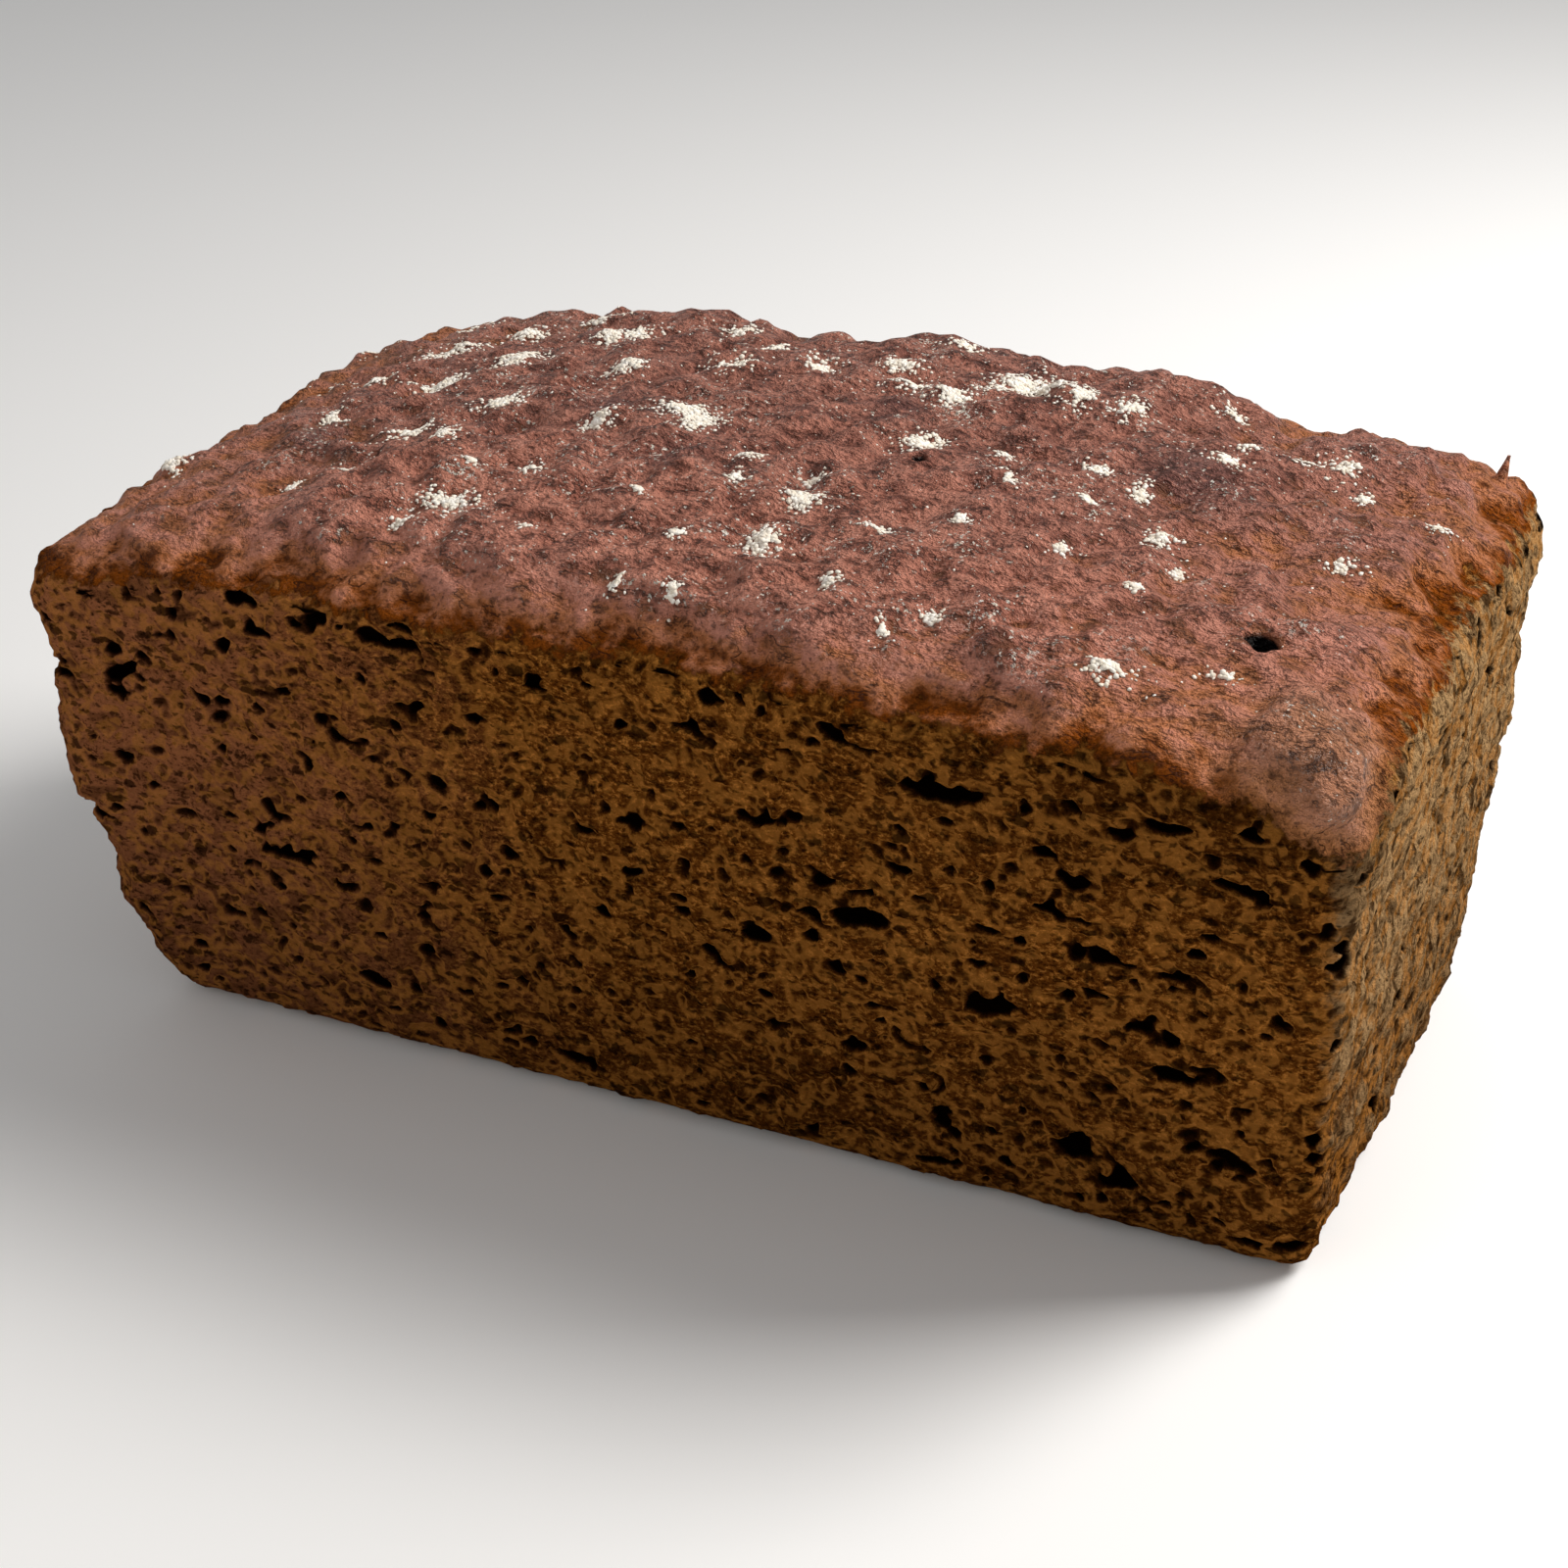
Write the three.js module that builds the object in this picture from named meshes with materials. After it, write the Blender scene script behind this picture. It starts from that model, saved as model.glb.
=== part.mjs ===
// Rye tin loaf: one baked solid. Millimetres, +Z up.
// The origin is the middle of the footprint, on the flat base. +X runs along the loaf and
// +Y across it, from the front side to the back side.

import * as THREE from 'three';
import { mergeVertices } from 'three/addons/utils/BufferGeometryUtils.js';
import { ImprovedNoise } from 'three/addons/math/ImprovedNoise.js';

const { clamp, lerp, smoothstep } = THREE.MathUtils;

// Driving dimensions. The tin gives the draft of the sides: wide at the rim, narrow at the base.
const topLength = 220;
const topWidth = 130;
const baseLength = 208;
const baseWidth = 97;
const rimHeight = 90; // base to the corners of the crust, before their rounding
const rimArch = 7; // how far the crust's edge climbs from the corners to the middle of a side
const crownRise = 7; // how far the middle of the top stands above its edge

// Rounding of the edges, which follows the tin low down and the risen dough at the top
const rimRadius = 12.5;
const baseRadius = 7;
const wallRadius = { leftFront: 5, rightFront: 2.5, leftBack: 8, rightBack: 9 };

// Swell of the crust over the rim of the tin, and the waist that shrinks in below it
const lipSwell = 1.1;
const lipLevel = 83;
const lipHeight = 7;
const waistDepth = 0.5;
const waistLevel = 67;
const waistHeight = 12;

// Unevenness of a hand-filled tin: [wavelength, amplitude] of each layer of noise
const broadWaves = [64, 1.2];
const crustBlisters = [21, 1.1];
const wallDimples = [15, 0.5];
const flatBaseBand = 9; // the base stays flat, and the unevenness fades in over this height

// The left end swells out between its base and its rim
const endSwell = 3.8;
const endSwellLevel = 44;
const endSwellHeight = 27;

// Places where crumb has torn away: centre, reach and depth
const tears = [
  { at: [-109, -59, 66], reach: 6, depth: 3 }, // upper notch on the left front edge
  { at: [-108, -54, 32], reach: 10, depth: 5 }, // lower notch on the left front edge
  { at: [58, -52, 24], reach: 19, depth: 1.6 }, // hollow below the torn ledge of the front side
];

// Number of cells along each side of the mesh
const cellsAlong = 40;
const cellsAcross = 24;
const cellsUp = 17;
const edgeCrowding = 0.45; // 0 spaces the cells evenly, 1 crowds them at the edges

const noise = new ImprovedNoise();

function layer([wavelength, amplitude], p, seed) {
  return amplitude * noise.noise(p.x / wavelength + seed, p.y / wavelength, p.z / wavelength) * 1.6;
}

function bump(value, middle, halfWidth) {
  return Math.exp(-(((value - middle) / halfWidth) ** 2));
}

// Moves a cell's place, from -1 to 1, towards the edges.
function crowd(s) {
  return lerp(s, Math.sin((s * Math.PI) / 2), edgeCrowding);
}

function wallRadiusAt(u, v) {
  if (u < 0) return v < 0 ? wallRadius.leftFront : wallRadius.leftBack;
  return v < 0 ? wallRadius.rightFront : wallRadius.rightBack;
}

// The rounding at a share of the height, which turns from the base's to the wall's to the rim's
function edgeRadius(share, wall) {
  return wall
    + (rimRadius - wall) * smoothstep(share, 0.6, 1)
    + (baseRadius - wall) * (1 - smoothstep(share, 0, 0.25));
}

// A box with rounded edges: its half sizes are the rim's, and it has no draft yet.
// Returns the point and the way out of the surface there.
function roundedBox(u, v, w) {
  const half = new THREE.Vector3(topLength / 2, topWidth / 2, rimHeight / 2);
  const sharp = new THREE.Vector3(crowd(u), crowd(v), crowd(w)).multiply(half);
  const radius = edgeRadius((sharp.z / half.z + 1) / 2, wallRadiusAt(u, v));
  const limit = half.clone().subScalar(radius);
  const inner = sharp.clone().clamp(limit.clone().negate(), limit);
  const out = sharp.clone().sub(inner).normalize();
  const point = inner.addScaledVector(out, radius);
  point.z += half.z;
  return { point, out };
}

// Draws the sides in from the rim to the base, as the tin does, with the lip and the waist.
function draft(point) {
  const share = clamp(point.z / rimHeight, 0, 1);
  const swell = lipSwell * bump(point.z, lipLevel, lipHeight)
    - waistDepth * bump(point.z, waistLevel, waistHeight);
  point.x *= (lerp(baseLength, topLength, share) + 2 * swell) / (topLength + 2 * lipSwell);
  point.y *= (lerp(baseWidth, topWidth, share) + 2 * swell) / (topWidth + 2 * lipSwell);
}

// Lifts the top: an arch along the whole rim, and a crown that fades out at the sides.
function rise(point) {
  const along = clamp(1 - (point.x / (topLength / 2)) ** 2, 0, 1);
  const across = clamp(1 - (point.y / (topWidth / 2)) ** 2, 0, 1);
  const upper = smoothstep(point.z, rimHeight * 0.45, rimHeight);
  point.z += upper * (rimArch * along ** 0.8 + crownRise * Math.sqrt(along) * across ** 0.7);
}

function unevenness(point) {
  const upper = smoothstep(point.z, rimHeight * 0.8, rimHeight);
  const fade = smoothstep(point.z, 0, flatBaseBand);
  const leftEnd = smoothstep(-point.x, topLength * 0.38, topLength * 0.48);
  return fade * (layer(broadWaves, point, 3.7)
    + upper * layer(crustBlisters, point, 11.3)
    + (1 - upper) * layer(wallDimples, point, 27.1)
    + leftEnd * endSwell * bump(point.z, endSwellLevel, endSwellHeight));
}

function tornDepth(point) {
  const depths = tears.map(({ at, reach, depth }) => {
    const near = 1 - point.distanceToSquared(new THREE.Vector3(...at)) / reach ** 2;
    return near > 0 ? depth * near ** 1.5 : 0;
  });
  return Math.max(...depths);
}

function loafPoint(u, v, w) {
  const { point, out } = roundedBox(u, v, w);
  draft(point);
  rise(point);
  const move = unevenness(point) - tornDepth(point);
  point.addScaledVector(out, move);
  point.z = Math.max(point.z, 0);
  return point;
}

function loafGeometry() {
  const box = new THREE.BoxGeometry(2, 2, 2, cellsAlong, cellsAcross, cellsUp);
  box.deleteAttribute('normal');
  box.deleteAttribute('uv');
  const geometry = mergeVertices(box, 1e-5);
  const position = geometry.getAttribute('position');
  for (let i = 0; i < position.count; i += 1) {
    const { x, y, z } = loafPoint(position.getX(i), position.getY(i), position.getZ(i));
    position.setXYZ(i, x, y, z);
  }
  return geometry;
}

// Puts the middle of the footprint at the origin and the base at z = 0.
function standAtOrigin(geometry) {
  geometry.computeBoundingBox();
  const { min, max } = geometry.boundingBox;
  return geometry.translate(-(min.x + max.x) / 2, -(min.y + max.y) / 2, -min.z);
}

function ryeLoaf() {
  const geometry = standAtOrigin(loafGeometry());
  geometry.computeVertexNormals();
  const bread = new THREE.MeshStandardMaterial({ color: 0x7a4a30, roughness: 0.85, metalness: 0 });
  const loaf = new THREE.Mesh(geometry, bread);
  loaf.name = 'rye_loaf';
  return loaf;
}

const model = new THREE.Group();
model.add(ryeLoaf());

export default model;
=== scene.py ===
import bpy
import bmesh
import math
import random
import time
from mathutils import Matrix, Quaternion, Vector, noise
from mathutils.bvhtree import BVHTree


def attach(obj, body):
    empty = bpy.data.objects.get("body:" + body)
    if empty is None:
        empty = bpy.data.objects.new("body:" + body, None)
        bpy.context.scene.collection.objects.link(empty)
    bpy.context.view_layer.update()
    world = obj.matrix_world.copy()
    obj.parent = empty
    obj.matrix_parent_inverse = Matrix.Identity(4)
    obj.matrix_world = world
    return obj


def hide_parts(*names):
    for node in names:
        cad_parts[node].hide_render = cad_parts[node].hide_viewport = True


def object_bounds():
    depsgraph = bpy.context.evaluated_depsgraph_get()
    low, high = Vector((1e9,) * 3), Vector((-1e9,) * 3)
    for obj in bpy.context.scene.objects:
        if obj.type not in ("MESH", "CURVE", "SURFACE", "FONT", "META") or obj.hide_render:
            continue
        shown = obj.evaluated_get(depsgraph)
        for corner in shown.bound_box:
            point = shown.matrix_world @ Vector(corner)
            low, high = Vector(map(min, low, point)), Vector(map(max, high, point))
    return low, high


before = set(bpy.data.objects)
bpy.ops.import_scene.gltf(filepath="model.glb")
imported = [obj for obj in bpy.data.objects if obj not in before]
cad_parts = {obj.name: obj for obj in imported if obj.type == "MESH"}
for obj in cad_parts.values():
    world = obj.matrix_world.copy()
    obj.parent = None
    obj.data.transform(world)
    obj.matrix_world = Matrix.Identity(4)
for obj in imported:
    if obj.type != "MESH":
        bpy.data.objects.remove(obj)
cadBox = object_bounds()
mm = 0.001
up = Vector((0, 0, 1))
started = time.time()


def note(stage):
    print(f"[loaf] {stage}, {time.time() - started:.0f} s", flush=True)


def newObject(name, mesh):
    piece = bpy.data.objects.new(name, mesh)
    bpy.context.scene.collection.objects.link(piece)
    return piece


def applyModifiers(piece):
    # bakes the modifiers into the mesh, so nothing on the piece stays live
    bpy.context.view_layer.update()
    evaluated = piece.evaluated_get(bpy.context.evaluated_depsgraph_get())
    finished = bpy.data.meshes.new_from_object(evaluated)
    old = piece.data
    piece.modifiers.clear()
    piece.data = finished
    bpy.data.meshes.remove(old)


def voxelRemesh(piece, size):
    remesh = piece.modifiers.new("voxels", "REMESH")
    remesh.mode = "VOXEL"
    remesh.voxel_size = size
    applyModifiers(piece)


def waves(point, wavelength, height, octaves=2):
    # soft noise of about plus and minus the height
    return height * noise.fractal(point / wavelength, 1.0, 2.0, octaves)


def roughen(piece, layers):
    # shakes each point by soft noise: wavelength and height of each layer
    for v in piece.data.vertices:
        place = v.co.copy()
        for wavelength, height in layers:
            v.co += noise.noise_vector(place / wavelength) * height


def pushOut(piece, amount):
    # moves each point along its normal; all normals are read first, since a move would renew them
    points = [(v.co.copy(), v.normal.copy()) for v in piece.data.vertices]
    moved = [axis for co, normal in points for axis in co + normal * amount(co)]
    piece.data.vertices.foreach_set("co", moved)
    piece.data.update()


def smoothStep(low, high, value):
    t = min(max((value - low) / (high - low), 0.0), 1.0)
    return t * t * (3 - 2 * t)


# The crust: its edge is lowest at the corners and higher along the sides. A band is a pair of
# heights, mostly above that edge, between which a shape fades in.
crustLook = {
    "cornerLevel": 84 * mm,
    "sideRise": 5.2 * mm,
    "endRise": 3 * mm,
    "wander": (11 * mm, 1.5 * mm),       # wavelength and height of the edge's unevenness
    "cornerSkin": (106 * mm, -60 * mm),  # the crust runs down the right front corner
    "cornerDrop": 8 * mm,
    "cornerReach": 7.5 * mm,
    "lumps": (19 * mm, 1.5 * mm),        # wavelength and height, as of the next two
    "wrinkles": (5.5 * mm, 1.9 * mm),
    "dents": (9 * mm, 0.9 * mm),         # these are in the crumb
    "rimDip": 1.7 * mm,                  # the crust has shrunk in behind its edge
    "crustBand": (-2 * mm, 3 * mm),
    "dipBand": (-0.5 * mm, 3.5 * mm),
    "dipEndBand": (5 * mm, 11 * mm),
    "baseBand": (0.5 * mm, 6 * mm),      # above the flat base
    "voxel": 1.3 * mm,
}
halfLength = (cadBox[1][0] - cadBox[0][0]) / 2
halfWidth = (cadBox[1][1] - cadBox[0][1]) / 2


def aboveCrustEdge(point):
    along = max(1 - (point.x / halfLength) ** 4, 0)
    across = max(1 - (point.y / halfWidth) ** 2, 0)
    edge = crustLook["cornerLevel"] + crustLook["sideRise"] * along + crustLook["endRise"] * across
    edge += waves(point, *crustLook["wander"], octaves=3)
    fromCorner = (point.xy - Vector(crustLook["cornerSkin"])).length / crustLook["cornerReach"]
    edge -= crustLook["cornerDrop"] * math.exp(-fromCorner ** 2)
    return point.z - edge


def formBumps(co):
    look = crustLook
    high = aboveCrustEdge(co)
    crust = smoothStep(*look["crustBand"], high)
    dip = smoothStep(*look["dipBand"], high) * (1 - smoothStep(*look["dipEndBand"], high)) * look["rimDip"]
    lumps = waves(co, *look["lumps"])
    # the next two are shifted, so that they don't repeat the pattern of the lumps
    wrinkles = waves(co + Vector((3, 0, 0)), *look["wrinkles"])
    dents = waves(co + Vector((0, 3, 0)), *look["dents"])
    clear = smoothStep(*look["baseBand"], co.z)
    return clear * (crust * (lumps + wrinkles) + (1 - crust) * dents - dip)


def plainForm():
    # the loaf without its pores: the frame's solid, rounded, with lumps, wrinkles and dents
    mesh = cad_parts["rye_loaf"].data.copy()
    mesh.materials.clear()
    bm = bmesh.new()
    bm.from_mesh(mesh)
    bmesh.ops.remove_doubles(bm, verts=bm.verts, dist=0.01 * mm)
    bm.to_mesh(mesh)
    bm.free()
    form = newObject("plainForm", mesh)
    rounded = form.modifiers.new("rounded", "SUBSURF")
    rounded.levels = rounded.render_levels = 1
    applyModifiers(form)
    voxelRemesh(form, crustLook["voxel"])
    pushOut(form, formBumps)
    return form


form = plainForm()
note(f"plain form with {len(form.data.polygons)} faces")

# Pores: lengths, heights and depths in mm are ranges, and the depths are then scaled for each zone
poreLook = {
    "seed": 5,
    "density": {"side": 0.158, "base": 0.048, "crust": 0.0032},  # rays for each square millimetre
    "depth": {"side": 1.0, "base": 0.6, "crust": 0.45},
    "sizes": [
        {"share": 0.91, "length": (1.3, 2.6), "height": (0.7, 1.1), "depth": (1.0, 1.8), "rounds": 1},
        {"share": 0.08, "length": (2.4, 4.2), "height": (0.9, 1.4), "depth": (1.5, 2.6), "rounds": 2},
        {"share": 0.010, "length": (4.2, 6.5), "height": (1.1, 1.7), "depth": (2.4, 3.6), "rounds": 2},
    ],
    "facing": 0.68,              # a ray makes a pore only where the surface faces it this much
    "crumbBelow": -0.8 * mm,     # heights above the crust's edge, for the sides and for the crust
    "crustFrom": 3 * mm,
    "sink": 0.12,                # share of its depth by which a pore's middle lies below the surface
    "tilt": 11,                  # degrees of scatter about level
    "ragged": [(2.1 * mm, 0.32 * mm), (1.0 * mm, 0.3 * mm)],  # wavelength and height
    "frontHeight": 0.82,         # the front holes' heights shrink by this, as ragged edges widen them
    "voxel": 0.5 * mm,
}

# The front side's own holes, slits and cracks: x, z, length, height and depth in mm, tilt in degrees
frontHoles = [
    (-64, 88, 12, 1.5, 3, -4), (-84, 84.5, 5, 1.4, 2, -3), (-93, 83.5, 3, 1.6, 2, 8),
    (-36, 84.5, 9, 2.4, 4, 0), (-13, 83.5, 4, 2.5, 3, 0), (-23, 86.5, 6, 1.4, 2, -8),
    (1, 88.5, 13, 1.1, 2.5, -6), (39, 83, 11, 1.5, 3, -8), (50, 78, 12, 4.6, 5, 0),
    (60, 79, 9, 1.1, 2, 4), (83, 80, 7.5, 3.4, 4, 12), (94, 81, 4, 2, 3, -10),
    (76, 77, 4, 1.8, 3, 0), (92, 71.5, 9, 2.6, 4, -8), (70, 67, 9, 1.8, 3, 0),
    (68, 60.5, 10, 1.7, 3, -12), (74, 54.5, 7.5, 2.6, 4, -6), (58, 55, 8, 1.6, 3, -18),
    (36, 52, 10, 2.4, 3.5, -4), (31, 57.5, 5, 1.6, 3, 8), (72, 48, 8, 1.6, 3, -14),
    (18, 44, 5, 2.6, 4, 0), (83, 35.5, 7, 3.8, 4, -8), (-66, 39.5, 11, 2.7, 4, 3),
    (-74, 36, 4.5, 1.8, 3, 25), (-27, 45, 8, 1.5, 2.5, 0), (0, 60.5, 8, 1.3, 2.5, 3),
    (22, 66.5, 9, 1.3, 2.5, 3), (-22, 74, 8, 1.2, 2.5, 0), (-36, 73, 8, 1.3, 2.5, 0),
    (-63, 71.5, 13, 1.0, 2.5, 2), (-77, 68, 5, 1.8, 2.5, -30), (-91, 69.5, 9, 2.6, 3, 34),
    (-49, 42.5, 4, 1.6, 2.5, 0), (43, 63, 5, 2, 3, -10), (28, 51, 5, 1.8, 3, 6),
    (88, 62, 6, 1.6, 3, -14), (67, 15.5, 4.4, 7, 4, 0), (75, 12.5, 4, 3, 3, 0),
    (56, 41, 9, 5.5, 3, 12), (45, 5.5, 8, 2.2, 3, 0), (94, 6, 5, 2, 3, 0),
]

# Bites out of the left front edge, the torn ledge and the crust's two holes: middle and half sizes in mm
bites = [
    {"at": (-108, -58, 67.5), "half": (7, 6, 2.2)},
    {"at": (-109.5, -61, 78), "half": (4, 4, 1.4)},
    {"at": (-107, -55, 41), "half": (7, 8, 2.7)},
    {"at": (-108, -56, 34), "half": (3.4, 5, 6)},
    {"at": (62, -55, 29), "half": (22, 3.6, 5)},
    {"at": (86.5, -34, 99), "half": (2.7, 3.3, 12)},
    {"at": (24.5, -6, 104), "half": (1.6, 1.1, 5)},
]


def poreMatrix(at, normal, size, tilt):
    # a unit ball becomes a flat pore that lies level along the surface; on flat parts it lies along x
    level = up.cross(normal)
    level = level.normalized() if level.length > 0.2 else Vector((1, 0, 0))
    level.rotate(Quaternion(normal, math.radians(tilt)))
    steep = normal.cross(level).normalized()
    turn = Matrix((level, steep, normal)).transposed().to_4x4()
    length, height, depth = size
    squash = Matrix.Diagonal((length / 2, height / 2, depth, 1))
    return Matrix.Translation(at - normal * depth * poreLook["sink"]) @ turn @ squash


def inZone(zone, at, facing):
    # a ray makes pores only in its own zone, since the rays from the other sides fill the rest
    high = aboveCrustEdge(at)
    fits = {"side": high < poreLook["crumbBelow"], "base": True, "crust": high > poreLook["crustFrom"]}
    return facing >= poreLook["facing"] and fits[zone]


def scatteredPores():
    # rays find the places, so they don't depend on the order of the mesh's faces
    rng = random.Random(poreLook["seed"])
    tree = BVHTree.FromObject(form, bpy.context.evaluated_depsgraph_get())
    shares = [size["share"] for size in poreLook["sizes"]]
    low, high = cadBox
    matrices = {1: [], 2: []}
    for axis, sign in ((0, 1), (0, -1), (1, 1), (1, -1), (2, 1), (2, -1)):
        across = [a for a in range(3) if a != axis]
        area = math.prod(high[a] - low[a] for a in across) / mm ** 2
        zone = "side" if axis < 2 else "crust" if sign > 0 else "base"
        for _ in range(round(area * poreLook["density"][zone])):
            start, way = Vector(), Vector()
            for a in across:
                start[a] = rng.uniform(low[a], high[a])
            start[axis], way[axis] = sign, -sign
            kind = rng.choices(poreLook["sizes"], shares)[0]
            size = [rng.uniform(*kind[key]) * mm for key in ("length", "height", "depth")]
            size[2] *= poreLook["depth"][zone]
            tilt = rng.gauss(0, poreLook["tilt"])
            at, normal, _, _ = tree.ray_cast(start, way)
            if at is not None and inZone(zone, at, normal[axis] * sign):
                matrices[kind["rounds"]].append(poreMatrix(at, normal, size, tilt))
    return matrices


def frontPores():
    tree = BVHTree.FromObject(form, bpy.context.evaluated_depsgraph_get())
    matrices = []
    for x, z, length, height, depth, tilt in frontHoles:
        at, normal, _, _ = tree.ray_cast(Vector((x * mm, -1, z * mm)), Vector((0, 1, 0)))
        size = [length * mm, height * mm * poreLook["frontHeight"], depth * mm]
        matrices.append(poreMatrix(at, normal, size, tilt))
    for bite in bites:
        half = Matrix.Diagonal((*[h * mm for h in bite["half"]], 1))
        matrices.append(Matrix.Translation(Vector(bite["at"]) * mm) @ half)
    return matrices


def ballsMesh(name, matricesByRounds, chunk=150):
    # small batches, because each new ball is slower in a large bmesh
    whole = bmesh.new()
    for rounds, matrices in matricesByRounds.items():
        for start in range(0, len(matrices), chunk):
            batch = bmesh.new()
            for matrix in matrices[start:start + chunk]:
                bmesh.ops.create_icosphere(batch, subdivisions=rounds, radius=1, matrix=matrix)
            part = bpy.data.meshes.new("batch")
            batch.to_mesh(part)
            batch.free()
            whole.from_mesh(part)
            bpy.data.meshes.remove(part)
    mesh = bpy.data.meshes.new(name)
    whole.to_mesh(mesh)
    whole.free()
    return mesh


def poreSolids():
    matrices = scatteredPores()
    matrices[2] += frontPores()
    pores = newObject("pores", ballsMesh("pores", matrices))
    roughen(pores, poreLook["ragged"])
    voxelRemesh(pores, poreLook["voxel"])
    return pores


pores = poreSolids()
note(f"pores with {len(pores.data.polygons)} faces")

# The finished loaf's surface
loafLook = {
    "voxel": 0.52 * mm,
    "triangles": 196000,
    "crumb": [(1.7 * mm, 0.42 * mm), (4.5 * mm, 0.6 * mm)],  # wavelength and height of the roughness
    "crustBand": (-1 * mm, 3 * mm),  # the roughness ends there, above the crust's edge
    "baseBand": (0.3 * mm, 3 * mm),  # and starts there, above the base
    "flake": {"at": (102, 50.5, 90.5), "height": 8, "radius": 1.9, "tip": 0.3, "lean": (0.2, 0.25, 1)},
}


def crustFlake():
    # the small horn of crust that stands up at the back right corner
    look = loafLook["flake"]
    lean = Vector(look["lean"]).to_track_quat("Z", "Y").to_matrix().to_4x4()
    place = Matrix.Translation(Vector(look["at"]) * mm) @ lean
    bm = bmesh.new()
    bmesh.ops.create_cone(bm, cap_ends=True, segments=8, radius1=look["radius"] * mm,
                          radius2=look["tip"] * mm, depth=look["height"] * mm, matrix=place)
    return bm


def triangleCount(piece):
    return sum(len(face.vertices) - 2 for face in piece.data.polygons)


def crumbRoughness(co):
    clear = smoothStep(*loafLook["baseBand"], co.z)
    clear *= 1 - smoothStep(*loafLook["crustBand"], aboveCrustEdge(co))
    return clear * sum(waves(co, *layer) for layer in loafLook["crumb"])


def ryeLoaf():
    loaf = newObject("rye_loaf_bread", form.data.copy())
    cut = loaf.modifiers.new("pores", "BOOLEAN")
    cut.operation = "DIFFERENCE"
    cut.solver = "MANIFOLD"
    cut.object = pores
    applyModifiers(loaf)
    note(f"pores cut, {len(loaf.data.polygons)} faces")
    bm = crustFlake()
    bm.from_mesh(loaf.data)
    bm.to_mesh(loaf.data)
    bm.free()
    voxelRemesh(loaf, loafLook["voxel"])
    note(f"remeshed, {len(loaf.data.polygons)} faces")
    pushOut(loaf, crumbRoughness)
    thin = loaf.modifiers.new("thin", "DECIMATE")
    thin.ratio = loafLook["triangles"] / triangleCount(loaf)
    applyModifiers(loaf)
    loaf.data.validate()
    return loaf


loaf = ryeLoaf()
note(f"loaf with {triangleCount(loaf)} triangles")


def recordDepths(piece):
    # for the material: depth below the plain form, and height above the crust's edge, both in mm;
    # for the bake map, it gives back the plain form's normals
    tree = BVHTree.FromObject(form, bpy.context.evaluated_depsgraph_get())
    depths, heights, normals = [], [], []
    for v in piece.data.vertices:
        near, normal, _, _ = tree.find_nearest(v.co)
        normals.append(normal)
        depths.append(max((near - v.co).dot(normal), 0) / mm)
        heights.append(aboveCrustEdge(near) / mm)
    for name, values in (("poreDepth", depths), ("crustHeight", heights)):
        attribute = piece.data.attributes.new(name, "FLOAT", "POINT")
        attribute.data.foreach_set("value", values)
    return normals


# The map for baking: its size in mm, and for the axis and sign of each side's normal the axes
# that run across and up the map, with the place of that side's corner
bakeLook = {
    "size": 453,
    "sides": {
        (2, 1): ((0, 1), (2, 2)),
        (2, -1): ((0, 1), (2, 136)),
        (1, -1): ((2, 0), (230, 2)),
        (1, 1): ((2, 0), (342, 2)),
        (0, -1): ((1, 2), (2, 270)),
        (0, 1): ((1, 2), (136, 270)),
    },
}


def layBakeMap(piece, normals):
    # flat views of the six sides, so the map has few seams
    places = []
    for face in piece.data.polygons:
        out = sum((normals[i] for i in face.vertices), Vector())
        axis = max(range(3), key=lambda i: abs(out[i]))
        axes, corner = bakeLook["sides"][axis, 1 if out[axis] > 0 else -1]
        for i in face.vertices:
            co = piece.data.vertices[i].co
            places += [((co[a] - cadBox[0][a]) / mm + c) / bakeLook["size"] for a, c in zip(axes, corner)]
    piece.data.uv_layers.new(name="OFBake").data.foreach_set("uv", places)


layBakeMap(loaf, recordDepths(loaf))
note("depths and bake map recorded")


def finishWith(piece, material):
    piece.data.materials.clear()
    piece.data.materials.append(material)
    piece.data.polygons.foreach_set("material_index", [0] * len(piece.data.polygons))
    for face in piece.data.polygons:
        face.use_smooth = True


def addNode(tree, kind, inputs=None, **settings):
    made = tree.nodes.new("ShaderNode" + kind)
    for key, value in settings.items():
        setattr(made, key, value)
    for key, value in (inputs or {}).items():
        if isinstance(value, bpy.types.NodeSocket):
            tree.links.new(value, made.inputs[key])
        else:
            made.inputs[key].default_value = value
    return made


def stepUp(tree, value, low, high):
    # 0 below low, 1 above high, smooth between; low may be the larger one
    return addNode(tree, "MapRange", {"Value": value, "From Min": low, "From Max": high},
                   interpolation_type="SMOOTHSTEP").outputs["Result"]


def calc(tree, operation, a, b=0.0, c=0.0):
    return addNode(tree, "Math", {0: a, 1: b, 2: c}, operation=operation).outputs[0]


def times(tree, a, b):
    return calc(tree, "MULTIPLY", a, b)


def blendColor(tree, share, a, b):
    return addNode(tree, "Mix", {0: share, 6: a, 7: b}, data_type="RGBA").outputs[2]


def noiseAt(tree, place, scale, detail=3.0, rough=0.5, warp=0.0):
    return addNode(tree, "TexNoise", {"Vector": place, "Scale": scale, "Detail": detail,
                                      "Roughness": rough, "Distortion": warp}).outputs["Fac"]


def squashed(tree, place, scale):
    return addNode(tree, "Mapping", {"Vector": place, "Scale": scale}).outputs["Vector"]


def placeInMm(tree):
    return squashed(tree, addNode(tree, "TexCoord").outputs["Object"], (1 / mm, 1 / mm, 1 / mm))


def newMaterial(name):
    material = bpy.data.materials.new(name)
    material.use_nodes = True
    return material, material.node_tree, material.node_tree.nodes["Principled BSDF"]


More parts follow.
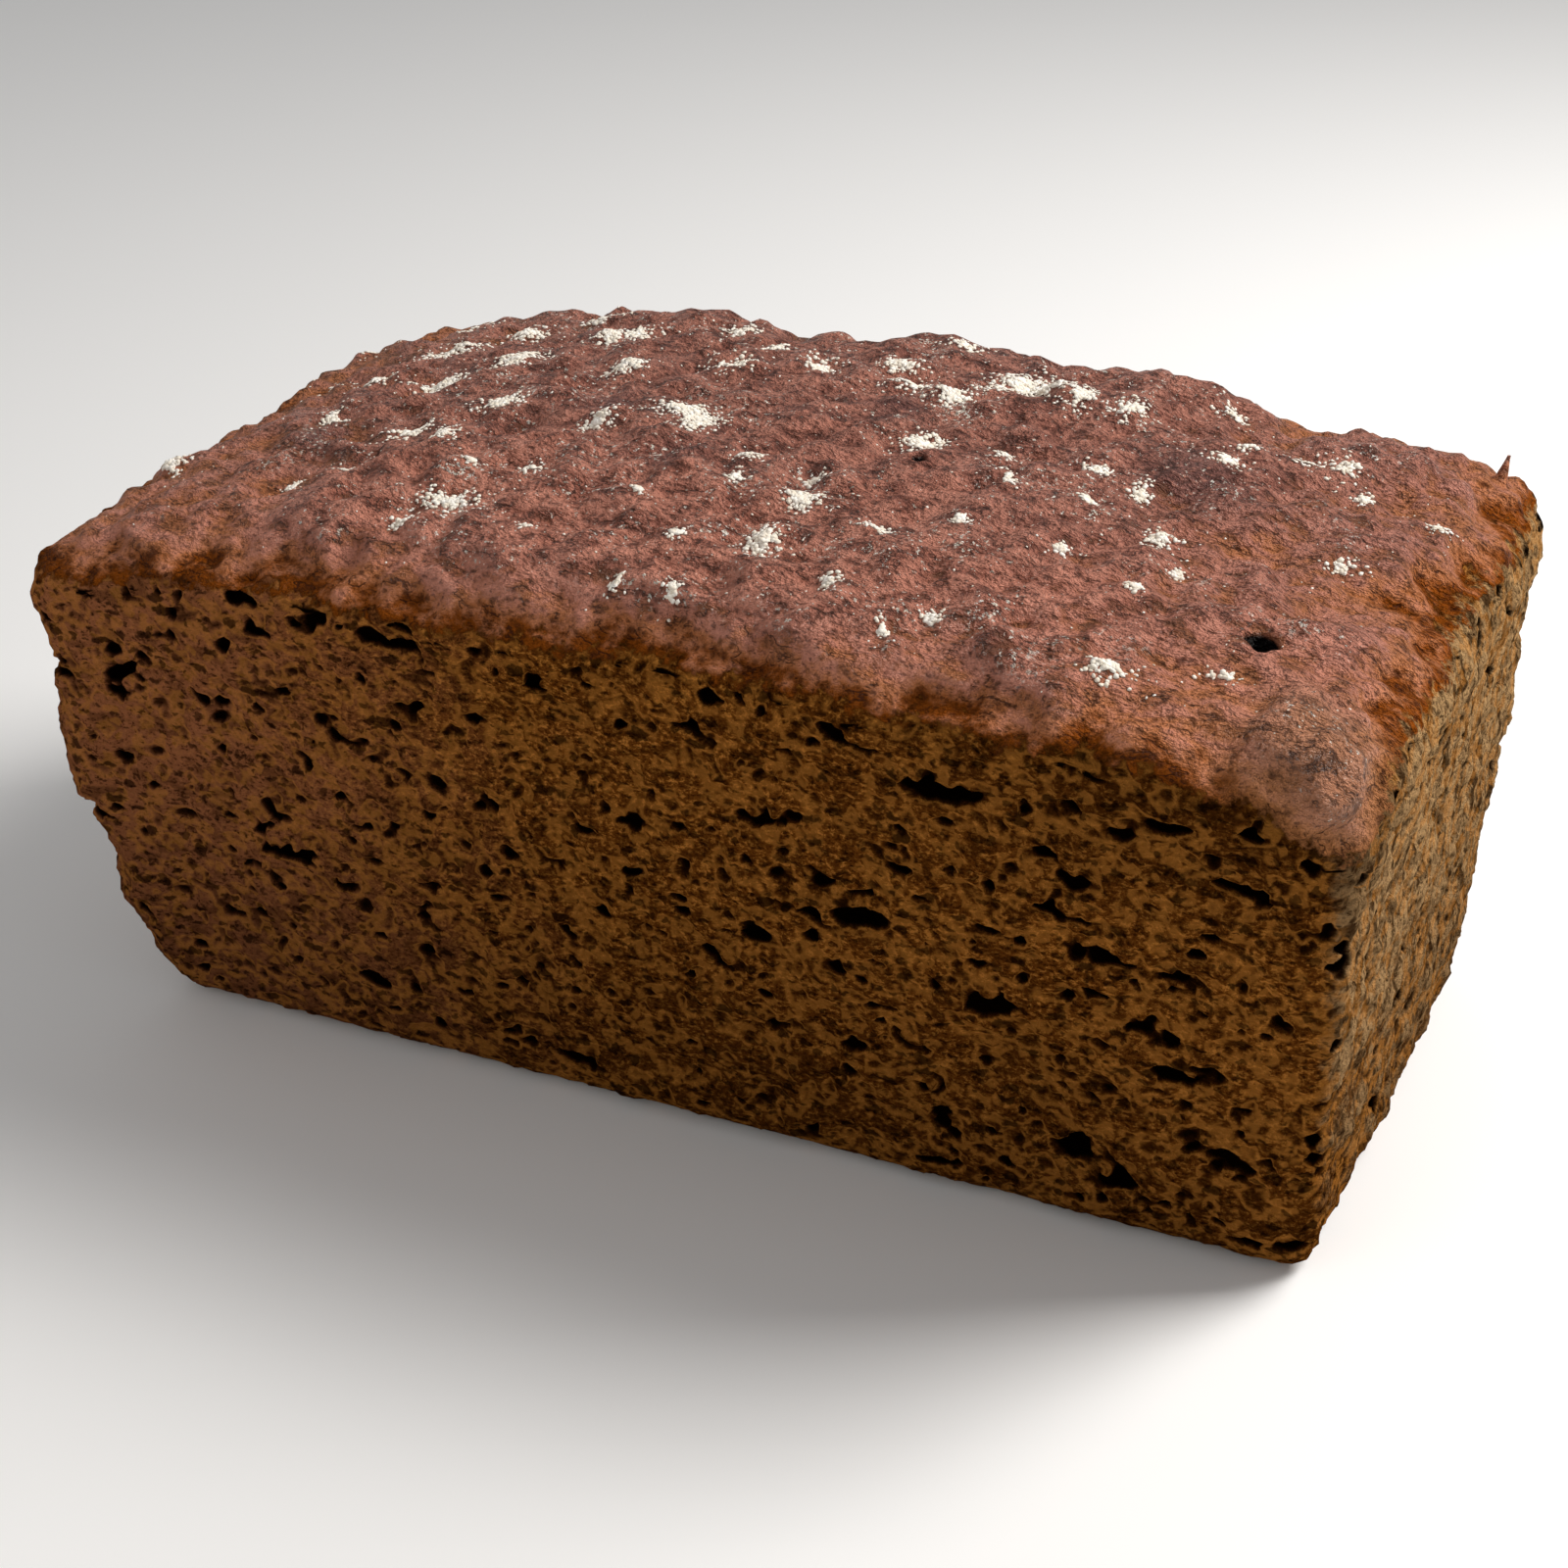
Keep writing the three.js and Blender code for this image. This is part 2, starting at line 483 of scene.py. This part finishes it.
def flourToneGroup():
    # the flour's uneven white, for the grains and for the flecks on the crust
    group = bpy.data.node_groups.new("flourTone", "ShaderNodeTree")
    group.interface.new_socket("Place", in_out="INPUT", socket_type="NodeSocketVector")
    group.interface.new_socket("Color", in_out="OUTPUT", socket_type="NodeSocketColor")
    place = group.nodes.new("NodeGroupInput").outputs["Place"]
    tone = stepUp(group, noiseAt(group, place, 0.9, 4.0, 0.6), 0.35, 0.7)
    color = blendColor(group, tone, (0.80, 0.72, 0.60, 1), (0.98, 0.95, 0.89, 1))
    group.links.new(color, group.nodes.new("NodeGroupOutput").inputs["Color"])
    return group


flourTone = flourToneGroup()


def flourColor(tree, place):
    return addNode(tree, "Group", {"Place": place}, node_tree=flourTone).outputs["Color"]


# Colours are linear red, green, blue
breadLook = {
    "crumb": (0.205, 0.062, 0.0085, 1),
    "crumbGold": (0.74, 0.290, 0.052, 1),
    "crumbDark": (0.030, 0.0085, 0.0012, 1),
    "crumbLeft": (0.52, 0.185, 0.080, 1),
    "crumbRight": (0.66, 0.41, 0.19, 1),
    "poreShade": (0.0035, 0.0012, 0.0004, 1),
    "crust": (0.33, 0.106, 0.066, 1),
    "crustPale": (0.72, 0.292, 0.200, 1),
    "crustDark": (0.050, 0.0160, 0.0095, 1),
    "crustPlum": (0.105, 0.040, 0.038, 1),
    "rim": (0.68, 0.250, 0.085, 1),
    "rimLow": (0.30, 0.075, 0.008, 1),
    "skin": (0.50, 0.225, 0.095, 1),
    "crumbRoughness": 0.9,
    "crustRoughness": 0.42,
    "flourRoughness": 0.9,
    "crustGleam": 0.3,
    "relief": 0.6 * mm,
    "drawnPores": [(2.5, 0.40, 0.9), (1.3, 0.46, 0.75)],  # mm between them, widest part, darkness
    "poreBend": 2.6,             # mm by which noise bends the rows of these pores
    "patches": [(64, 8, 13), (13, 15, 10), (-10, -18, 8), (-30, -2, 8), (-75, -20, 9)],
    # stretch along x, y and z, then the noise's scale for each mm, detail, roughness and warp
    "patterns": {
        "grain": ((0.7, 0.7, 1.0), 1.35, 4.0, 0.72),
        "patch": ((0.6, 0.6, 1.0), 0.34, 3.0, 0.6),
        "blotch": ((1.0, 1.0, 1.0), 0.09, 3.0),
        "crag": ((0.6, 1.0, 0.45), 0.42, 4.0, 0.65),
        "broad": ((1.0, 1.0, 1.0), 0.045, 4.0, 0.6),
        "mottle": ((0.8, 1.15, 1.0), 0.26, 5.0, 0.62),
        "fine": ((0.8, 1.1, 1.0), 1.05, 3.0, 0.65),
        "crease": ((0.6, 1.3, 1.0), 0.17, 4.0, 0.6, 0.2),
        "dust": ((1.0, 1.0, 1.0), 1.1, 4.0, 0.7),
        "dustField": ((1.0, 1.0, 1.0), 0.07, 3.0, 0.6),
        "ragged": ((1.0, 1.0, 1.0), 0.4, 5.0, 0.65),
        "slit": ((0.7, 0.7, 2.0), 0.16, 3.0, 0.6),
    },
}


def pattern(tree, place, name):
    stretch, *settings = breadLook["patterns"][name]
    return noiseAt(tree, squashed(tree, place, stretch), *settings)


def tinted(tree, color, tone, mask, share=1.0):
    # the colour with a tone of breadLook laid over it where the mask is 1
    return blendColor(tree, times(tree, mask, share), color, breadLook[tone])


def drawnPores(tree, place):
    # the smallest pores, 1 inside them; they become painted shade and dents in the bump
    wander = addNode(tree, "TexNoise", {"Vector": place, "Scale": 0.7, "Detail": 3.0}).outputs["Color"]
    shift = {0: wander, 1: [breadLook["poreBend"]] * 3, 2: place}
    bent = addNode(tree, "VectorMath", shift, operation="MULTIPLY_ADD").outputs["Vector"]
    flat = squashed(tree, bent, (0.55, 0.55, 1.0))
    pit = 0.0
    for cell, widest, darkness in breadLook["drawnPores"]:
        cells = addNode(tree, "TexVoronoi", {"Vector": flat, "Scale": 1 / cell, "Randomness": 1.0})
        chance = addNode(tree, "SeparateColor", {"Color": cells.outputs["Color"]}).outputs["Red"]
        inside = calc(tree, "SUBTRACT", times(tree, chance, widest), cells.outputs["Distance"])
        pit = calc(tree, "MAXIMUM", pit, times(tree, stepUp(tree, inside, -0.05, 0.09), darkness))
    return pit


def crumbLayer(tree, place, depth):
    # colour and height of the crumb; the smallest pores are drawn, the larger ones are in the mesh
    look = breadLook
    names = ("grain", "patch", "blotch", "crag")
    grain, patch, blotch, crag = [pattern(tree, place, name) for name in names]
    x, y, z = addNode(tree, "SeparateXYZ", {"Vector": place}).outputs
    # the crumb's grain tone, gold on its raised grain: partly painted highlight
    color = blendColor(tree, stepUp(tree, grain, 0.49, 0.66), look["crumb"], look["crumbGold"])
    leftward = stepUp(tree, calc(tree, "MULTIPLY_ADD", blotch, -50, x), -30, -115)
    color = tinted(tree, color, "crumbLeft", leftward, share=0.8)
    rightEnd = stepUp(tree, calc(tree, "MULTIPLY_ADD", patch, 6, x), 106.5, 110.0)  # the right end
    color = tinted(tree, color, "crumbRight", rightEnd, share=0.85)
    # painted shade in the low parts of the right end's crag bump
    crannyShade = times(tree, stepUp(tree, crag, 0.50, 0.38), rightEnd)
    color = tinted(tree, color, "crumbDark", crannyShade, share=0.85)
    color = tinted(tree, color, "crumbDark", stepUp(tree, patch, 0.54, 0.38), share=0.45)
    # painted shade: the crumb is darker towards the bottom
    color = tinted(tree, color, "crumbDark", stepUp(tree, z, 70, 0), share=0.5)
    # painted shade under the crust's edge, high on the front side, towards the right
    underCrustShade = times(tree, stepUp(tree, x, 20, 85), stepUp(tree, y, -40, -52))
    underCrustShade = times(tree, underCrustShade, stepUp(tree, z, 52, 84))
    color = tinted(tree, color, "crumbDark", underCrustShade, share=0.6)
    # the crumb's grain tone, darker in the grain's low spots: partly painted shade
    color = tinted(tree, color, "crumbDark", stepUp(tree, grain, 0.48, 0.36), share=0.8)
    # painted highlight on the brims of the mesh's pores
    poreRimHighlight = times(tree, stepUp(tree, depth, 0.02, 0.12), stepUp(tree, depth, 0.45, 0.2))
    color = tinted(tree, color, "crumbGold", poreRimHighlight, share=0.4)
    # painted shade in the smallest pores, which are only drawn
    pit = times(tree, drawnPores(tree, place), calc(tree, "MULTIPLY_ADD", rightEnd, -0.5, 1.0))
    color = tinted(tree, color, "poreShade", pit, share=0.88)
    # painted shade on the walls of the mesh's pores, darker with depth
    color = tinted(tree, color, "crumbDark", stepUp(tree, depth, 0.2, 0.8), share=0.8)
    height = calc(tree, "MULTIPLY_ADD", pit, -1.0, times(tree, grain, 4.5))
    height = calc(tree, "MULTIPLY_ADD", times(tree, crag, rightEnd), 9.0, height)
    return color, height


def crustPatches(tree, place, ragged):
    # soft dark patches at chosen places: x, y and reach in mm
    flat = squashed(tree, place, (1.0, 1.0, 0.0))
    mask = 0.0
    for x, y, reach in breadLook["patches"]:
        away = addNode(tree, "VectorMath", {0: flat, 1: (x, y, 0)}, operation="DISTANCE").outputs["Value"]
        away = calc(tree, "MULTIPLY_ADD", ragged, 1.4 * reach, away)
        mask = calc(tree, "MAXIMUM", mask, stepUp(tree, away, 1.7 * reach, 0.7 * reach))
    return mask


def crustHollowShade(tree, place, mottle, fine):
    # painted shade in the crust's creases, pits and hollows and in the low specks of its fine noise, 1 where
    # it is darkest
    ridge = calc(tree, "ABSOLUTE", calc(tree, "SUBTRACT", pattern(tree, place, "crease"), 0.5))
    dark = times(tree, stepUp(tree, ridge, 0.022, 0.004), stepUp(tree, mottle, 0.54, 0.44))
    cells = addNode(tree, "TexVoronoi", {"Vector": place, "Scale": 0.42, "Randomness": 1.0})
    pit = times(tree, stepUp(tree, cells.outputs["Distance"], 0.36, 0.12), stepUp(tree, mottle, 0.58, 0.46))
    hollow = stepUp(tree, mottle, 0.44, 0.30)
    speck = stepUp(tree, fine, 0.45, 0.33)
    for mask, share in ((pit, 0.8), (hollow, 0.8), (speck, 0.7)):
        dark = calc(tree, "MAXIMUM", dark, times(tree, mask, share))
    return dark


def flourFlecks(tree, place, height):
    # 1 where a fleck of flour lies on the crust
    dust, dustField = pattern(tree, place, "dust"), pattern(tree, place, "dustField")
    dusty = calc(tree, "MULTIPLY_ADD", dustField, 0.35, dust)
    return times(tree, stepUp(tree, dusty, 0.80, 0.83), stepUp(tree, height, 5, 9))


def crustLayer(tree, place, height):
    # colour, height and flour mask of the crust
    look = breadLook
    broad, mottle, fine = [pattern(tree, place, name) for name in ("broad", "mottle", "fine")]
    x, y, _ = addNode(tree, "SeparateXYZ", {"Vector": place}).outputs
    # the crust's mottled tone, paler on its raised mottle: partly painted highlight
    color = blendColor(tree, stepUp(tree, mottle, 0.36, 0.64), look["crust"], look["crustPale"])
    inward = stepUp(tree, calc(tree, "MULTIPLY_ADD", broad, 90, y), -5, 45)
    color = tinted(tree, color, "crustPlum", inward, share=0.3)
    color = tinted(tree, color, "crustPlum", crustPatches(tree, place, broad), share=0.7)
    # painted highlight: pale glints on the raised points of the fine noise
    color = tinted(tree, color, "crustPale", stepUp(tree, fine, 0.54, 0.66), share=0.5)
    rim = stepUp(tree, calc(tree, "MULTIPLY_ADD", mottle, 18, height), 16.5, 11)
    color = tinted(tree, color, "rim", rim, share=0.7)
    rimLow = stepUp(tree, calc(tree, "MULTIPLY_ADD", mottle, 12, height), 9.5, 6.5)
    color = tinted(tree, color, "rimLow", rimLow)
    # the skin on the right front corner
    skin = times(tree, stepUp(tree, x, 84, 98), stepUp(tree, y, -36, -52))
    color = tinted(tree, color, "skin", skin, share=0.6)
    # painted shade in the crust's creases, pits and hollows
    dark = crustHollowShade(tree, place, mottle, fine)
    color = tinted(tree, color, "crustDark", dark, share=0.85)
    flour = flourFlecks(tree, place, height)
    color = blendColor(tree, flour, color, flourColor(tree, place))
    bump = calc(tree, "MULTIPLY_ADD", mottle, 9.0, times(tree, fine, 5.0))
    bump = calc(tree, "MULTIPLY_ADD", dark, -0.6, bump)
    return color, bump, flour


def slitShadeUnderCrust(tree, place, ragged, height):
    # painted shade of gaps where the crust has lifted off the crumb, in a band just under its edge
    slit = stepUp(tree, pattern(tree, place, "slit"), 0.55, 0.60)
    slit = times(tree, slit, stepUp(tree, ragged, 0.38, 0.50))
    band = times(tree, stepUp(tree, height, -3.2, -2.2), stepUp(tree, height, -0.4, -1.4))
    return times(tree, slit, band)


def breadMaterial():
    look = breadLook
    bread, tree, shader = newMaterial("ryeBread")
    place = placeInMm(tree)
    depth = addNode(tree, "Attribute", attribute_name="poreDepth").outputs["Fac"]
    height = addNode(tree, "Attribute", attribute_name="crustHeight").outputs["Fac"]
    crumb, crumbBump = crumbLayer(tree, place, depth)
    crust, crustBump, flour = crustLayer(tree, place, height)
    ragged = pattern(tree, place, "ragged")
    onCrust = stepUp(tree, calc(tree, "MULTIPLY_ADD", ragged, 9.0, height), 4.0, 5.2)
    slitShade = slitShadeUnderCrust(tree, place, ragged, height)
    # painted shade in the mesh's pores and in the slits under the crust
    cavityShade = calc(tree, "MAXIMUM", slitShade, stepUp(tree, depth, 0.35, 1.2))
    color = tinted(tree, blendColor(tree, onCrust, crumb, crust), "poreShade", cavityShade)
    tree.links.new(color, shader.inputs["Base Color"])
    smoother = look["crustRoughness"] - look["crumbRoughness"]
    rough = calc(tree, "MULTIPLY_ADD", onCrust, smoother, look["crumbRoughness"])
    rough = calc(tree, "MAXIMUM", rough, times(tree, flour, look["flourRoughness"]))
    tree.links.new(rough, shader.inputs["Roughness"])
    onCrumb = calc(tree, "SUBTRACT", 1.0, onCrust)
    bump = calc(tree, "ADD", times(tree, crumbBump, onCrumb), times(tree, crustBump, onCrust))
    relief = addNode(tree, "Bump", {"Height": bump, "Distance": look["relief"], "Strength": 1.0})
    tree.links.new(relief.outputs["Normal"], shader.inputs["Normal"])
    gleam = times(tree, times(tree, onCrust, stepUp(tree, height, 0, 8)), look["crustGleam"])
    tree.links.new(gleam, shader.inputs["Specular IOR Level"])
    return bread


finishWith(loaf, breadMaterial())

# Flour: listed clumps as x, y, spread in mm and number of grains, then loose grains
flourLook = {
    "seed": 8,
    "clumps": [
        (-38, -41, 5, 260), (-49, -6, 4, 200), (-28, -11, 3, 120), (-14, -5, 4.5, 220), (-78, -13, 3, 90),
        (-59, -18, 4, 150), (14, -26, 4, 190), (14, -39, 4, 220), (28, -30, 2.5, 110), (-22, -45, 1.5, 60),
        (-30, -29, 2, 70), (-62, -33, 1.6, 60), (-70, -36, 2, 70), (22, 2, 4.5, 200), (65, -13, 3, 120),
        (70, -51, 4, 130), (44, -48, 2.2, 60), (67, -30, 1.6, 60), (39, -25, 1.6, 50), (28, -47, 2, 50),
        (12, -17, 2.4, 80), (19, 22, 4, 180), (47, 28, 4, 150), (26, 34, 7, 330), (38, 30, 4.5, 180),
        (58, 0, 2.6, 80), (35, 3, 2.6, 70), (99, 17, 2.5, 70), (82, 27, 5, 120), (87, 20, 2, 60),
        (52, -7, 2, 60), (2, -43, 1.6, 50), (-2, -54, 1.8, 50), (7, -54, 1.6, 40), (39, -54, 1.4, 40),
        (-9, -34, 1.2, 40), (70, -20, 1.4, 50), (54, -24, 1.4, 40), (-43, -47, 2.4, 70), (-40, -31, 1.6, 50),
        (-77, 27, 5, 170), (-49, 31, 4, 150), (-20, 20, 5, 180), (-59, 18, 5, 160), (-35, 13, 3.5, 130),
        (-82, 7, 4, 130), (-7, 27, 3.5, 130), (4, 35, 3, 110), (-66, 5, 4, 110), (-50, -22, 3, 80),
        (0, -15, 3.5, 100), (2, -24, 2.5, 60), (66, 17, 3, 70), (90, -5, 3, 50), (40, -8, 3, 50),
        (-30, 44, 4, 110), (60, 42, 4, 110), (-85, 45, 5, 120), (10, 50, 4, 90), (84, -44, 3, 40),
        (-79, 24, 5, 170), (-69, 6, 5, 170), (-95, 8, 4, 110), (-100, 30, 4, 110), (-97, -32, 4, 120),
        (-103, 12, 3, 80), (-58, 14, 4, 140), (-37, 12, 3, 90), (-17, -3, 4.5, 220), (-13, -8, 3, 120),
        (31, 33, 6, 260), (10, 25, 4, 140), (5, 34, 4, 130), (68, 24, 3, 90), (76, 26, 3, 80),
        (-70, 38, 5, 160), (-46, 34, 5, 150), (-18, 33, 4, 120), (-60, 48, 5, 130), (50, 3, 3, 90),
    ],
    "above": 4 * mm,             # flour lies only this far above the crust's edge
    "grain": (0.24, 0.62),       # half size in mm
    "grainStretch": (0.7, 1.5),
    "clumpStretch": (0.5, 0.8),
    "reach": (0.22, 0.45, 0.8),  # grains scatter by one of these shares of the clump's spread
    "shrink": 0.6,               # how much smaller they get towards the clump's edge
    "edge": 1.6,                 # where that edge is, in spreads
    "loose": 1000,
    "looseGrain": (0.08, 0.22),
    "looseField": ((-100, 104), (-60, 60)),
    "nearClumps": 0.6,           # share of the loose grains that lie around the clumps
    "nearReach": 2.2,            # how far they scatter, in spreads
    "flatness": 0.4,
    "sink": 0.25,                # share of the grain's height below the crust
    "ragged": [(0.7 * mm, 0.16 * mm)],
}


def flourGrain(rng, tree, x, y, half):
    # the place of one grain, or None where it would miss the crust
    hit, normal, _, _ = tree.ray_cast(Vector((x * mm, y * mm, 1)), -up)
    if hit is None or aboveCrustEdge(hit) < flourLook["above"]:
        return None
    turn = normal.to_track_quat("Z", "Y") @ Quaternion((0, 0, 1), rng.uniform(0, math.tau))
    flat = half * flourLook["flatness"]
    stretch = rng.uniform(*flourLook["grainStretch"])
    size = Matrix.Diagonal((half * stretch * mm, half * mm, flat * mm, 1))
    lift = normal * flat * (1 - 2 * flourLook["sink"]) * mm
    return Matrix.Translation(hit + lift) @ turn.to_matrix().to_4x4() @ size


def flourDusting():
    look = flourLook
    rng = random.Random(look["seed"])
    tree = BVHTree.FromObject(loaf, bpy.context.evaluated_depsgraph_get())
    grains = []
    for x, y, spread, count in look["clumps"]:
        stretch, lean = rng.uniform(*look["clumpStretch"]), rng.uniform(0, math.pi)
        for _ in range(count):
            reach = spread * rng.choice(look["reach"])
            along, aside = rng.gauss(0, reach), rng.gauss(0, reach * stretch)
            gx = x + along * math.cos(lean) - aside * math.sin(lean)
            gy = y + along * math.sin(lean) + aside * math.cos(lean)
            outward = min(math.hypot(along, aside) / (look["edge"] * spread), 1)
            half = rng.uniform(*look["grain"]) * (1 - look["shrink"] * outward)
            grains.append(flourGrain(rng, tree, gx, gy, half))
    for _ in range(look["loose"]):
        gx, gy = [rng.uniform(*field) for field in look["looseField"]]
        if rng.random() < look["nearClumps"]:
            x, y, spread, _ = rng.choice(look["clumps"])
            gx, gy = [rng.gauss(middle, look["nearReach"] * spread) for middle in (x, y)]
        grains.append(flourGrain(rng, tree, gx, gy, rng.uniform(*look["looseGrain"])))
    dusting = newObject("flour_dusting", ballsMesh("flour_dusting", {1: [g for g in grains if g]}))
    roughen(dusting, look["ragged"])
    return dusting


def flourMaterial():
    flour, tree, shader = newMaterial("ryeFlour")
    place = placeInMm(tree)
    tree.links.new(flourColor(tree, place), shader.inputs["Base Color"])
    relief = addNode(tree, "Bump", {"Height": noiseAt(tree, place, 4.0, 3.0), "Distance": 0.1 * mm})
    tree.links.new(relief.outputs["Normal"], shader.inputs["Normal"])
    shader.inputs["Roughness"].default_value = 0.95
    shader.inputs["Specular IOR Level"].default_value = 0.2
    return flour


flour = flourDusting()
finishWith(flour, flourMaterial())
note(f"flour with {len(flour.data.polygons)} faces")

# Camera: turn and height of the view in degrees, distance and the point it looks at
viewLook = {
    "turn": 25.88,
    "height": 28.17,
    "roll": -1.54,
    "distance": 448 * mm,
    "target": (-5.4 * mm, 5.7 * mm, 34.9 * mm),
    "lens": 59.6,
}


def makeCamera():
    turn, height = math.radians(viewLook["turn"]), math.radians(viewLook["height"])
    back = Vector((math.sin(turn) * math.cos(height), -math.cos(turn) * math.cos(height), math.sin(height)))
    camera = bpy.data.objects.new("camera", bpy.data.cameras.new("camera"))
    bpy.context.scene.collection.objects.link(camera)
    camera.data.lens = viewLook["lens"]
    camera.location = Vector(viewLook["target"]) + back * viewLook["distance"]
    camera.rotation_mode = "QUATERNION"
    roll = Quaternion((0, 0, 1), math.radians(viewLook["roll"]))
    camera.rotation_quaternion = back.to_track_quat("Z", "Y") @ roll
    bpy.context.scene.camera = camera


makeCamera()

# Light: soft panels with their direction from the loaf, distance, side, power and colour
lightLook = {
    "world": (0.95, 0.95, 0.95),
    "worldStrength": 0.34,
    "panels": {
        "key": {"from": (0.95, 0.55, 1.15), "away": 0.9, "side": 0.42, "power": 8.6,
                "color": (1, 0.97, 0.93)},
        "fill": {"from": (-0.4, -1, 0.6), "away": 1.2, "side": 0.7, "power": 1.8, "color": (1, 0.96, 0.9)},
    },
}


def makeLights():
    world = bpy.data.worlds.new("studio")
    bpy.context.scene.world = world
    world.use_nodes = True
    background = world.node_tree.nodes["Background"]
    background.inputs["Color"].default_value = (*lightLook["world"], 1)
    background.inputs["Strength"].default_value = lightLook["worldStrength"]
    for name, look in lightLook["panels"].items():
        panel = bpy.data.objects.new(name, bpy.data.lights.new(name, "AREA"))
        bpy.context.scene.collection.objects.link(panel)
        panel.data.size = look["side"]
        panel.data.energy = look["power"]
        panel.data.color = look["color"]
        toward = Vector(look["from"]).normalized()
        panel.location = toward * look["away"]
        panel.rotation_euler = toward.to_track_quat("Z", "Y").to_euler()


makeLights()


floorLook = {
    "radius": 4,
    "color": (0.95, 0.95, 0.95, 1),
    "roughness": 0.8,
}


def makeFloor():
    bm = bmesh.new()
    bmesh.ops.create_circle(bm, cap_ends=True, radius=floorLook["radius"], segments=64)
    mesh = bpy.data.meshes.new("floor")
    bm.to_mesh(mesh)
    bm.free()
    floor = newObject("floor", mesh)
    paint, _, shader = newMaterial("floorPaint")
    shader.inputs["Base Color"].default_value = floorLook["color"]
    shader.inputs["Roughness"].default_value = floorLook["roughness"]
    floor.data.materials.append(paint)


makeFloor()
bpy.context.scene.view_settings.view_transform = "Standard"

bpy.data.objects.remove(form)
bpy.data.objects.remove(pores)
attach(loaf, "root")
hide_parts("rye_loaf")
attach(flour, "root")
